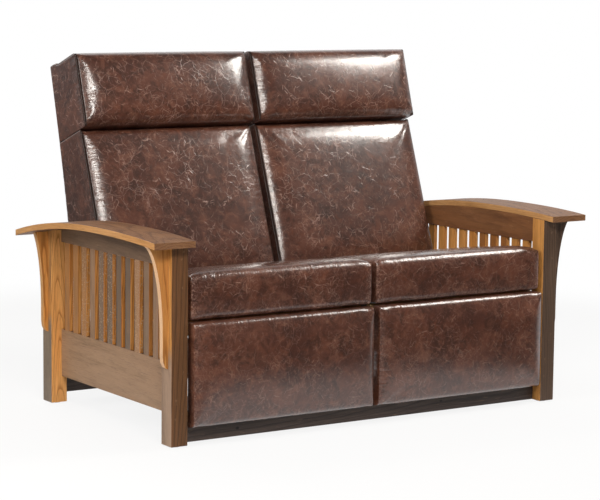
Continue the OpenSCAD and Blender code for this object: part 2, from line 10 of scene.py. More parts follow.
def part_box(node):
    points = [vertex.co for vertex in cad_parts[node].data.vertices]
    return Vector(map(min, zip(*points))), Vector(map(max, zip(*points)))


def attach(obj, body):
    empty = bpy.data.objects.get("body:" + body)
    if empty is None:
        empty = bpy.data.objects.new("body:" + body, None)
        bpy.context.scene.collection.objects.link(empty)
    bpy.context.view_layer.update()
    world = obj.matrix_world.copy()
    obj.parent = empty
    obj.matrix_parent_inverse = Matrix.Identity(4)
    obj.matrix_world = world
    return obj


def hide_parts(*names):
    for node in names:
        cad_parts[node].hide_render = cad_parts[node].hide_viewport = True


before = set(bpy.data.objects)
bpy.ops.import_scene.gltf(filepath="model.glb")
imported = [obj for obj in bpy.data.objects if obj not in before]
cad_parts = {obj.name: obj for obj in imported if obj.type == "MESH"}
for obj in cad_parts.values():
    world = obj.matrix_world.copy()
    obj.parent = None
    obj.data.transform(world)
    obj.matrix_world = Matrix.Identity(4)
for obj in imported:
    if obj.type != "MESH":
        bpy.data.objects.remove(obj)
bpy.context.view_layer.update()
scene = bpy.context.scene

# The legs' front faces, from which the camera and the soft forms are placed
leg_front_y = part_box("front_left_leg")[0].y

# The photograph's camera, from the middle of the legs' front faces on the floor. Its lens and
# sensor are in millimetres
camera_from_legs = Vector((-3.8186, -5.4028, 1.3833))
camera_yaw = math.radians(33.24)
camera_pitch = math.radians(-7.28)
camera_roll = math.radians(0.61)
camera_lens = 130.44
camera_sensor = 36
camera_sight = 60


def add_camera():
    """The camera at the photograph's viewing angle."""
    data = bpy.data.cameras.new("camera")
    data.lens = camera_lens
    data.sensor_width = camera_sensor
    data.clip_end = camera_sight
    camera = bpy.data.objects.new("camera", data)
    scene.collection.objects.link(camera)
    forward = Vector((
        math.sin(camera_yaw) * math.cos(camera_pitch),
        math.cos(camera_yaw) * math.cos(camera_pitch),
        math.sin(camera_pitch)))
    right = Vector((math.cos(camera_yaw), -math.sin(camera_yaw), 0))
    up = right.cross(forward)
    rolled_right = math.cos(camera_roll) * right + math.sin(camera_roll) * up
    rolled_up = math.cos(camera_roll) * up - math.sin(camera_roll) * right
    turn = Matrix((rolled_right, rolled_up, -forward)).transposed().to_4x4()
    camera.matrix_world = Matrix.Translation(camera_from_legs + Vector((0, leg_front_y, 0))) @ turn
    scene.camera = camera


# Materials. Scales count cells or waves to a metre, and other sizes are in metres
def colour(code):
    """A written colour such as 8a5f3a as linear red, green, blue and alpha."""
    shares = [int(code[i:i + 2], 16) / 255 for i in (0, 2, 4)]
    return tuple(((s + 0.055) / 1.055) ** 2.4 if s > 0.04045 else s / 12.92 for s in shares) + (1,)


class Shader:
    """The node tree of a material, or of the world, with short calls for its nodes."""

    def __init__(self, owner):
        self.owner = owner
        owner.use_nodes = True
        self.tree = owner.node_tree
        self.tree.nodes.clear()
        self.coordinates = self.add("TexCoord").outputs
        self.place = self.coordinates["Object"]

    def add(self, kind, inputs=None, **settings):
        node = self.tree.nodes.new("ShaderNode" + kind)
        for name, value in settings.items():
            setattr(node, name, value)
        for name, value in (inputs or {}).items():
            if isinstance(value, bpy.types.NodeSocket):
                self.tree.links.new(value, node.inputs[name])
            else:
                node.inputs[name].default_value = value
        return node

    def math(self, operation, a, b=0.0):
        return self.add("Math", {0: a, 1: b}, operation=operation).outputs[0]

    def times(self, a, b):
        return self.math("MULTIPLY", a, b)

    def plus(self, a, b):
        return self.math("ADD", a, b)

    def minus(self, a, b):
        return self.math("SUBTRACT", a, b)

    def most(self, *values):
        """The highest of some values."""
        highest = values[0]
        for value in values[1:]:
            highest = self.math("MAXIMUM", highest, value)
        return highest

    def vector(self, operation, a, b=(0, 0, 0)):
        node = self.add("VectorMath", {0: a, 1: b}, operation=operation)
        return node.outputs["Value" if operation == "LENGTH" else "Vector"]

    def stretch(self, vector, share):
        return self.vector("MULTIPLY", vector, (share, share, share))

    def split(self, vector):
        return self.add("SeparateXYZ", {0: vector}).outputs

    def join(self, x, y, z):
        return self.add("CombineXYZ", {0: x, 1: y, 2: z}).outputs[0]

    def noise(self, vector, scale, detail=3.0, roughness=0.5, twist=0.0):
        node = self.add("TexNoise", {
            "Vector": vector, "Scale": scale, "Detail": detail,
            "Roughness": roughness, "Distortion": twist})
        return node.outputs[0]

    def noise_vector(self, vector, scale, detail=2.0):
        return self.add("TexNoise", {"Vector": vector, "Scale": scale, "Detail": detail}).outputs[1]

    def ramp(self, value, low, high, out_low=0.0, out_high=1.0):
        node = self.add("MapRange", {
            "Value": value, "From Min": low, "From Max": high, "To Min": out_low, "To Max": out_high},
            interpolation_type="SMOOTHSTEP")
        return node.outputs[0]

    def mix(self, share, a, b):
        return self.add("Mix", {0: share, 6: a, 7: b}, data_type="RGBA").outputs[2]

    def bump(self, height, distance, strength, normal=None):
        inputs = {"Height": height, "Distance": distance, "Strength": strength}
        if normal is not None:
            inputs["Normal"] = normal
        return self.add("Bump", inputs).outputs[0]

    def dot(self, a, b):
        return self.add("VectorMath", {0: a, 1: b}, operation="DOT_PRODUCT").outputs["Value"]

    def finish(self, **inputs):
        """Ends a material with its surface."""
        names = {name.replace("_", " "): value for name, value in inputs.items()}
        self.end("OutputMaterial", self.add("BsdfPrincipled", names))
        return self.owner

    def end(self, kind, shader):
        output = self.add(kind)
        self.tree.links.new(shader.outputs[0], output.inputs[0])


def new_shader(name):
    return Shader(bpy.data.materials.new(name))


def strokes(s, place, scale, seed, width, reach):
    """Hair-fine scratches, one in each random cell, each at its own angle and of its own strength."""
    moved = s.vector("ADD", place, (seed, seed * 0.7, seed * 1.3))
    cells = s.add("TexVoronoi", {"Vector": moved, "Scale": scale})
    away = s.vector("SUBTRACT", moved, cells.outputs["Position"])
    turned = s.vector("NORMALIZE", s.vector("SUBTRACT", cells.outputs["Color"], (0.5, 0.5, 0.5)))
    line = s.ramp(s.math("ABSOLUTE", s.dot(away, turned)), 0.0, width, 1.0, 0.0)
    roll = s.math("FRACT", s.times(s.split(cells.outputs["Color"])[0], 9.7))
    line = s.times(line, s.ramp(roll, 0.25, 0.95))
    return s.times(line, s.ramp(s.vector("LENGTH", away), reach * 0.35, reach, 1.0, 0.0))


def folds(s, attribute, reach):
    """Fine folds that run away from a seam. The attribute holds the way along and from it."""
    run, near, seed = s.split(s.add("Attribute", attribute_name=attribute).outputs["Vector"])[0:3]
    fine = s.noise(s.join(run, s.times(near, 0.15), seed), 120, 3, 0.6)
    return s.times(fine, s.ramp(near, 0.0, reach, 1.0, 0.0))


# Moved by, scale, detail, roughness, twist, from, to, share and tone of the hide's patches
hide_patches = (
    ((0, 0, 0), 24, 5, 0.65, 0.8, 0.42, 0.68, 0.7, "2c160e"),
    ((3.1, 1.7, 0.4), 21, 6, 0.7, 0.8, 0.48, 0.72, 0.5, "7a4f3d"),
    ((0, 0, 0), 41, 4, 0.6, 0.5, 0.54, 0.72, 0.2, "7a4124"),
)

# Scale, seed, width, reach and share of the hide's scratches. The long ones are torn
hide_scratches = (
    (10, 4.4, 0.0014, 0.055, 0.7),
    (15, 1.1, 0.0014, 0.038, 0.85),
    (21, 3.3, 0.0014, 0.028, 0.95),
    (29, 5.1, 0.0014, 0.021, 1.0),
    (41, 2.7, 0.0013, 0.015, 1.0),
    (60, 6.3, 0.0013, 0.011, 0.9),
)
torn_reach = 0.02

# Scale, width as a share of a cell, and share of the hide's veins
hide_veins = (
    (13, 0.016, 0.5),
    (31, 0.032, 0.55),
)

# The hide's other sizes: how far its marks are bent, its folds' reach and its reliefs' depths
bend_way = 0.015
torn_share = 1.1
end_fold_reach = 0.05
edge_fold_reach = 0.035
pebble_scale = 560
pebble_depth = 0.0003
wrinkle_depth = 0.0012
crease_depth = 0.0019
mark_depth = 0.0004
few_marks_z = 0.38
all_marks_z = 0.55


def mottle(s):
    """The hide's ground: clouds of two browns under darker, paler and rustier patches."""
    cloud = s.noise(s.place, 6, 4, 0.6, 0.4)
    ground = s.mix(s.ramp(cloud, 0.36, 0.66), colour("442419"), colour("5b3425"))
    for shift, scale, detail, roughness, twist, low, high, share, tone in hide_patches:
        patch = s.noise(s.vector("ADD", s.place, shift), scale, detail, roughness, twist)
        ground = s.mix(s.ramp(patch, low, high, 0, share), ground, colour(tone))
    return ground


def marks_of(s, bent, torn, crowded):
    """The hide's pale scratches and veins, with fewer of them low down, on the footrests."""
    scratches = [
        s.times(strokes(s, torn if reach > torn_reach else bent, scale, seed, width, reach), share)
        for scale, seed, width, reach, share in hide_scratches]
    veins = []
    for scale, width, share in hide_veins:
        edge = s.add("TexVoronoi", {"Vector": torn, "Scale": scale}, feature="DISTANCE_TO_EDGE").outputs[0]
        fade = s.ramp(s.noise(s.vector("ADD", s.place, (scale, 0, 0)), 9, 4, 0.7), 0.48, 0.62)
        veins.append(s.times(s.ramp(edge, 0.0, width, share, 0.0), fade))
    low_down = s.ramp(s.split(s.place)[2], few_marks_z, all_marks_z, 0.45, 1.0)
    return s.times(s.most(s.times(s.most(*scratches), crowded), *veins), low_down)


def leather():
    """Glossy distressed leather: mottled red-brown with fine pale scratches, veins and folds."""
    s = new_shader("distressed_leather")
    warp = s.stretch(s.vector("SUBTRACT", s.noise_vector(s.place, 28, 5), (0.5, 0.5, 0.5)), bend_way)
    bent = s.vector("ADD", s.place, warp)
    torn = s.vector("ADD", bent, s.stretch(warp, torn_share))
    crowded = s.ramp(s.noise(s.place, 12, 5, 0.7, 0.6), 0.41, 0.58, 0.12, 1.0)
    marks = marks_of(s, bent, torn, crowded)
    rub = s.times(s.ramp(s.noise(torn, 110, 6, 0.75), 0.5, 0.74), crowded)
    # Pale along the seams and rounded edges: partly wear, partly a painted highlight of the edges catching
    # the light.
    wear_and_glint = s.add("Attribute", attribute_name="wear_and_glint").outputs["Fac"]
    broken_wear_glint = s.times(wear_and_glint, s.ramp(s.noise(s.place, 150, 4, 0.7), 0.46, 0.66))
    seam = s.add("Attribute", attribute_name="seam").outputs["Fac"]
    base = mottle(s)
    for amount, share, tone in (
            (marks, 0.72, "b08d80"), (rub, 0.5, "96705f"), (broken_wear_glint, 0.55, "b08b7c"), (seam, 0.85, "1a0e0a")):
        base = s.mix(s.times(amount, share), base, colour(tone))
    pebble = s.add("TexVoronoi", {"Vector": s.place, "Scale": pebble_scale}, feature="SMOOTH_F1").outputs[0]
    wrinkle = s.noise(bent, 34, 4, 0.55, 0.4)
    creases = s.most(folds(s, "end_fold", end_fold_reach), folds(s, "edge_fold", edge_fold_reach))
    normal = None
    for height, depth, strength in (
            (pebble, pebble_depth, 0.3), (wrinkle, wrinkle_depth, 0.35),
            (creases, crease_depth, 0.9), (marks, mark_depth, 0.5)):
        normal = s.bump(height, depth, strength, normal)
    gloss = s.plus(s.ramp(s.noise(s.place, 30, 4, 0.6), 0.3, 0.7, 0.16, 0.22), s.times(marks, 0.08))
    lacquer = s.minus(1.0, s.times(seam, 0.9))
    return s.finish(Base_Color=base, Roughness=0.4, Specular_IOR_Level=0.25, Normal=normal,
                    Coat_Normal=normal, Coat_Weight=lacquer, Coat_IOR=1.65, Coat_Roughness=gloss)


# Oak's figure: its rings' width, sway and waver, how far each board's grain is moved from the
# next one's, how much longer its marks are along the grain, and its reliefs' depths
ring_width = 0.008
ring_sway = 0.03
ring_waver = 0.0022
board_shift_across = 0.03
board_shift_along = 2.0
fibre_share = 0.12
streak_share = 0.02
pore_share = 0.035
pore_depth = 0.0004
wave_depth = 0.0006

# The front rail's knots: the way along and up from its middle, and the radius
rail_knots = ((-0.47, -0.004, 0.008), (0.29, 0.003, 0.006))


def lay_boards(s, place, boards, seed):
    """A place's three ways, moved so that each of a set of boards gets its own grain, and a roll for each."""
    x, y, z = s.split(place)[0:3]
    if not boards:
        return x, y, z, 0.5
    start, pitch = boards
    whole_y = s.split(s.place)[1]
    number = s.math("FLOOR", s.math("DIVIDE", s.minus(whole_y, start), pitch))
    y = s.minus(s.minus(whole_y, start), s.times(s.plus(number, 0.5), pitch))
    rolls = s.add("TexWhiteNoise", {"W": s.plus(number, seed * 7.3)}, noise_dimensions="1D")
    shift = s.split(rolls.outputs[1])
    y = s.plus(y, s.times(s.minus(shift[0], 0.5), board_shift_across))
    z = s.plus(z, s.times(shift[1], board_shift_along))
    return x, y, z, rolls.outputs[0]


class Figure:
    """Sawn oak's figure: growth rings round a heart line, and streaks, pores and flecks along the grain."""

    def __init__(self, s, across, deep, along, heart, seed, ring, taper, line):
        self.s = s
        fibre = s.join(across, deep, s.times(along, fibre_share))
        self.fibre = s.vector("ADD", fibre, (seed * 1.3, seed * 0.7, seed))
        sway = s.times(s.minus(s.noise(self.fibre, 16, 2), 0.5), ring_sway)
        radius = s.vector("LENGTH", s.join(s.minus(across, heart[0]), s.minus(deep, heart[1]), 0.0))
        radius = s.plus(s.plus(radius, sway), s.times(along, taper))
        waver = s.times(s.minus(s.noise(self.fibre, 120, 3), 0.5), ring_waver)
        rings = s.math("FRACT", s.math("DIVIDE", s.plus(radius, waver), ring))
        self.early = s.times(s.ramp(rings, 0.0, line, 1.0, 0.0), s.ramp(rings, 0.0, 0.08))
        self.streak = s.noise(s.join(across, deep, s.times(along, streak_share)), 420, 3, 0.6)
        pore = s.noise(s.join(across, deep, s.times(along, pore_share)), 900, 2)
        self.pore = s.ramp(pore, 0.56, 0.68)
        fleck = s.noise(s.join(s.times(across, 0.35), deep, s.times(along, 0.2)), 170, 2)
        self.fleck = s.ramp(fleck, 0.66, 0.74)
        self.broad = s.noise(self.fibre, 9, 2)

    def tone(self, codes, strength):
        """Dark, middle and pale laid over the figure."""
        s = self.s
        dark, middle, pale = (colour(code) for code in codes)
        tone = s.mix(s.ramp(self.broad, 0.3, 0.7), middle, pale)
        tone = s.mix(s.times(self.early, strength), tone, dark)
        return s.mix(s.times(s.ramp(self.streak, 0.35, 0.7), strength * 0.45), tone, dark)

    def relief(self):
        s = self.s
        height = s.plus(s.times(self.early, -0.4), s.times(self.pore, -1.0))
        normal = s.bump(height, pore_depth, 0.6)
        return s.bump(s.noise(self.fibre, 60, 2), wave_depth, 0.3, normal)


def wood(name, grain, tones, side_tones_and_light, centre, heart, seed, ring=ring_width, taper=0.03, line=0.5,
         side_figure=0.3, front_figure=0.8, boards=None, stains=None, speck=0.0, knots=(), upper=None):
    """Sawn and stained wood, with painted light in the tones of some faces.

    grain is the row axis the fibres follow and heart is the tree's centre from the board's own
    centre, across the grain. tones and the side tones are dark, middle and pale: the side tones
    are for the faces that look along X, and hold partly the wood's own tone and partly painted
    light, a grey painted sheen on the left side's outer faces and a pale painted highlight on the
    corbels' and arm tops' edges. ring is a ring's width, taper is how fast the rings run out along
    the grain, and line is the share of a ring that is dark. boards gives the first edge and the
    pitch of a set of boards along Y, so that each gets its own grain, stains their darkest and
    warmest tones, and speck how strongly some are specked. knots are dark knots in a board along
    X. upper gives the heights between which a post's side faces change to other tones."""
    s = new_shader(name)
    place = s.vector("SUBTRACT", s.place, tuple(centre))
    x, y, z, roll = lay_boards(s, place, boards, seed)
    across, deep, along = {"X": (y, z, x), "Y": (x, z, y), "Z": (x, y, z)}[grain]
    figure = Figure(s, across, deep, along, heart, seed, ring, taper, line)
    side = figure.tone(side_tones_and_light, side_figure)
    if stains:
        side = s.mix(s.ramp(roll, 0.5, 0.75, 0.0, 0.85), side, colour(stains[0]))
        warmth = s.most(s.ramp(roll, 0.15, 0.35, 0.8, 0.0), s.ramp(figure.streak, 0.5, 0.7, 0.0, 0.55))
        side = s.mix(warmth, side, colour(stains[1]))
    if upper:
        low, high, codes = upper
        side = s.mix(s.ramp(s.split(s.place)[2], low, high), side, figure.tone(codes, 0.6))
    smudge = s.ramp(s.noise(figure.fibre, 26, 5, 0.7), 0.45, 0.7, 0, 0.55)
    side = s.mix(smudge, side, colour(side_tones_and_light[0]))
    # Faces that look along X take the side tones: partly the wood's own tone, partly painted light, a grey
    # painted sheen on the left side's outer faces and a pale painted highlight on the corbels' and arm tops'
    # edges.
    aside = s.ramp(s.math("ABSOLUTE", s.split(s.coordinates["Normal"])[0]), 0.4, 0.75)
    base = s.mix(aside, figure.tone(tones, front_figure), side)
    base = s.mix(s.times(figure.pore, 0.3), base, colour("2c1c12"))
    base = s.mix(s.times(figure.fleck, 0.12), base, colour("c9a37c"))
    for knot_along, knot_up, size in knots:
        away = s.vector("LENGTH", s.join(s.minus(x, knot_along), s.times(s.minus(z, knot_up), 1.5), 0.0))
        base = s.mix(s.ramp(away, size * 0.6, size, 0.85, 0.0), base, colour("120d0b"))
    if speck:
        share = s.times(s.ramp(s.math("FRACT", s.times(roll, 7.0)), 0.3, 0.6), speck)
        spots = s.times(s.ramp(s.noise(place, 210, 4, 0.75), 0.54, 0.66), share)
        base = s.mix(spots, base, colour("c4ad98"))
    gloss = s.ramp(figure.streak, 0.3, 0.7, 0.42, 0.56)
    return s.finish(Base_Color=base, Roughness=gloss, Normal=figure.relief(), IOR=1.42)


# The hidden parts' finish: the depths of their reliefs, and the length of the webbing's weave
rolling_depth = 0.0001
grit_depth = 0.0002
weave_pitch = 0.0024
weave_depth = 0.0005


def steel_material():
    """Zinc-plated steel with faint rolling marks and dull patches."""
    s = new_shader("zinc_steel")
    marks = s.noise(s.vector("MULTIPLY", s.place, (1, 0.08, 1)), 380, 3)
    patches = s.noise(s.place, 34, 4, 0.6)
    base = s.mix(s.ramp(patches, 0.35, 0.65), colour("76797b"), colour("8f9294"))
    base = s.mix(s.ramp(marks, 0.55, 0.8, 0, 0.25), base, colour("6f7274"))
    gloss = s.ramp(marks, 0.3, 0.7, 0.32, 0.46)
    return s.finish(Base_Color=base, Metallic=0.7, Roughness=gloss, Normal=s.bump(marks, rolling_depth, 0.4))


def nylon_material():
    """Black moulded nylon with a fine spark-eroded surface."""
    s = new_shader("black_nylon")
    grit = s.noise(s.place, 900, 3)
    base = s.mix(s.ramp(grit, 0.4, 0.7), colour("1d1d1f"), colour("2f2f31"))
    return s.finish(Base_Color=base, Roughness=0.55, Normal=s.bump(grit, grit_depth, 0.4))


def webbing_material():
    """Jute webbing in a plain weave."""
    s = new_shader("jute_webbing")
    x, y = s.split(s.place)[0:2]
    warp, weft = (s.math("SINE", s.times(way, 2 * math.pi / weave_pitch)) for way in (x, y))
    weave = s.times(warp, weft)
    yarn = s.noise(s.place, 700, 2)
    base = s.mix(s.ramp(weave, -1, 1), colour("8c7b5c"), colour("c2b08c"))
    base = s.mix(s.times(yarn, 0.4), base, colour("75664b"))
    return s.finish(Base_Color=base, Roughness=0.9, Normal=s.bump(weave, weave_depth, 0.6))


def paint(node, material):
    """Gives a CAD node its material."""
    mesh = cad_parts[node].data
    mesh.materials.clear()
    mesh.materials.append(material)


def centre_of(node):
    low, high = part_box(node)
    return (low + high) / 2


# Which edges are eased, and how far
weld_reach = 0.00002
sharp_turn = math.radians(40)
leg_ease = 0.0015
slat_ease = 0.001


def ease_edges(node, width, segments=2):
    """Rounds a CAD node's sharp edges with modifiers, so that they catch the light."""
    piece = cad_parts[node]
    weld = piece.modifiers.new("weld", "WELD")
    weld.merge_threshold = weld_reach
    bevel = piece.modifiers.new("eased_edges", "BEVEL")
    bevel.width = width
    bevel.segments = segments
    bevel.limit_method = "ANGLE"
    bevel.angle_limit = sharp_turn
    bevel.harden_normals = False
    for face in piece.data.polygons:
        face.use_smooth = False


# Soft forms. Their sizes are in metres, and those of the cushions are as in the CAD source
seat_slope = math.radians(7.5)
seat_top_z = 0.506
seat_front_height = 0.131
seat_length = 0.546
back_lean = math.radians(20)
back_foot_y = 0.553
back_foot_z = 0.436
back_length = 0.476
back_thickness = 0.105
back_tuck = 0.014
headrest_gap = 0.004
headrest_height = 0.241
headrest_low_proud = 0.036
headrest_top_proud = 0.048
headrest_low_w = back_length + headrest_gap
back_top_w = headrest_low_w + headrest_height
footrest_thickness = 0.038
footrest_front = 0.015
footrest_low = 0.053
footrest_high = 0.367
side_inset = 0.0025
open_side_fill = 0.005
mid_side_fill = 0.002

# The outside back's cover and the panels on the back's sides: n is the way through the back from
# its face, and w the way up its face
outside_cover = 0.008
outside_drop = 0.060
outside_inset = 0.003
outside_turn = 0.024
outside_top_run = 0.05
rear_low_n = 0.246
rear_top_n = 0.147
rear_hollow = 0.010
frame_n = 0.1053
panel_thickness = 0.006
panel_proud = 0.001
panel_depth = 0.19
panel_seam_inset = 0.006
panel_gap = 0.002
panel_seam_w = headrest_low_w - headrest_gap / 2 - 0.0005
panel_top_w = back_top_w - 0.005
panel_drop_run = 0.051
panel_cap = outside_cover + 0.004
panel_cap_start = 0.02
panel_cap_run = 0.03

# The cells a cover is divided into, how much closer they lie at its edges, the share from which
# a point lies on an edge, and a length too small to divide by
cell_size = 0.009
edge_share = 0.45
edge_from = 0.9999
tiny = 1e-9

# Two shares of the way from a form's middle to its rear: up to the first its cover swells fully
# up and down, and from the second on the cloth is held to its board
full_swell_share = 0.2
held_share = 0.7

# The run over which a front's wider swelling rises, and the cloth simulation's steps. A share of
# what the cloth moves is kept
broad_reach = 0.09
cloth_steps = 20
blown_share = 0.4

# The folds at a seam: the length and height of their waves, how far these wander, the lengths
# over which they wander and fade, and how far from the seam they start and reach
pucker_waves = ((0.017, 0.5), (0.027, 0.8), (0.045, 1.0))
pucker_wander = 0.8
pucker_wander_length = 0.11
pucker_fade_length = 0.07
pucker_start = 0.006
pucker_reach = 0.022
seed_turn = 2.399
wave_turn = 1.7

# How far the pale edge wear and painted highlight reach from the end seams and from the other
# edges of the face, where they and the folds are weaker. The width and fade of a seam's dark line
# on a side panel, on a cushion's end and on its face
end_wear_glint_reach = 0.012
edge_wear_glint_reach = 0.02
edge_wear_glint_share = 0.5
edge_pucker_share = 0.5
panel_line = (0.002, 0.004)
end_line = (0.006, 0.006)
face_line = (0.001, 0.002)

# Each form's radii: its front's lower and upper edge, and its rear. Its cover swells to the
# front, up and down, and the cloth may blow it up across, through and along its face
seat_form = {
    "radii": (0.010, 0.022, 0.004), "swell": (0.008, 0.009, 0.001), "blown": (0.003, 0.008, 0.008),
    "reach": 0.022, "puckers": 0.0005, "wear_glint_share": 1.0}
back_form = {
    "radii": (0.008, 0.020, 0.006), "swell": (0.011, 0.001, 0.001), "blown": (0.001, 0.0025, 0.001),
    "reach": 0.018, "seam": "ends", "wear_glint_share": 0.3, "broad": 0.009}
headrest_form = {
    "radii": (0.022, 0.028, 0.006), "swell": (0.011, 0.000, 0.001), "blown": (0.001, 0.004, 0.001),
    "reach": 0.018, "seam": "ends", "wear_glint_share": 0.3}
headrest_broad = {"left": 0.017, "right": 0.011}
footrest_form = {
    "radii": (0.018, 0.013, 0.002), "swell": (0.014, 0.002, 0.002), "blown": (0.002, 0.007, 0.002),
    "reach": 0.020, "edge_hold": 1.0, "edge_reach": 0.06, "wear_glint_share": 0.5}
panel_form = {"radii": (0.004, 0.008, 0.002), "seam": "front", "wear_glint_share": 0.1}
outside_form = {"radii": (0.0035, 0.0035, 0.0035), "wear_glint_share": 0.2}


def box_grid(counts):
    """The points and four-sided faces of a box's surface, in whole steps along its three sides."""
    index = {}
    points = []
    faces = []

    def point(i, j, k):
        key = (i, j, k)
        if key not in index:
            index[key] = len(points)
            points.append(key)
        return index[key]

    for axis in range(3):
        a, b = [other for other in range(3) if other != axis]
        for side in (0, counts[axis]):
            for i in range(counts[a]):
                for j in range(counts[b]):
                    ring = []
                    for di, dj in ((0, 0), (1, 0), (1, 1), (0, 1)):
                        step = [0, 0, 0]
                        step[axis] = side
                        step[a] = i + di
                        step[b] = j + dj
                        ring.append(point(*step))
                    outward = (side > 0) == (axis != 1)
                    faces.append(ring if outward else ring[::-1])
    return np.array(points, float), faces


def mesh_object(name, points, faces):
    mesh = bpy.data.meshes.new(name)
    mesh.from_pydata([tuple(p) for p in points], [], faces)
    mesh.validate()
    mesh.update()
    piece = bpy.data.objects.new(name, mesh)
    scene.collection.objects.link(piece)
    for face in mesh.polygons:
        face.use_smooth = True
    return piece


def smooth(t):
    t = np.clip(t, 0, 1)
    return t * t * (3 - 2 * t)


def pucker(run, distance, seed):
    """Small folds across a seam: run is the way along the seam, distance the way from it."""
    wave = np.zeros_like(run)
    for order, (length, height) in enumerate(pucker_waves):
        phase = seed * seed_turn + order * wave_turn
        bend = pucker_wander * np.sin(run / pucker_wander_length + phase)
        wave += height * np.sin(2 * math.pi * run / length + phase + bend)
    fade = np.exp(-distance / pucker_reach) * (0.6 + 0.4 * np.sin(run / pucker_fade_length + seed))
    return wave * fade * smooth(distance / pucker_start)


def line_along(distance, line):
    """1 within a seam's dark line, and 0 beyond its fade."""
    width, fade = line
    return 1 - smooth((distance - width) / fade)


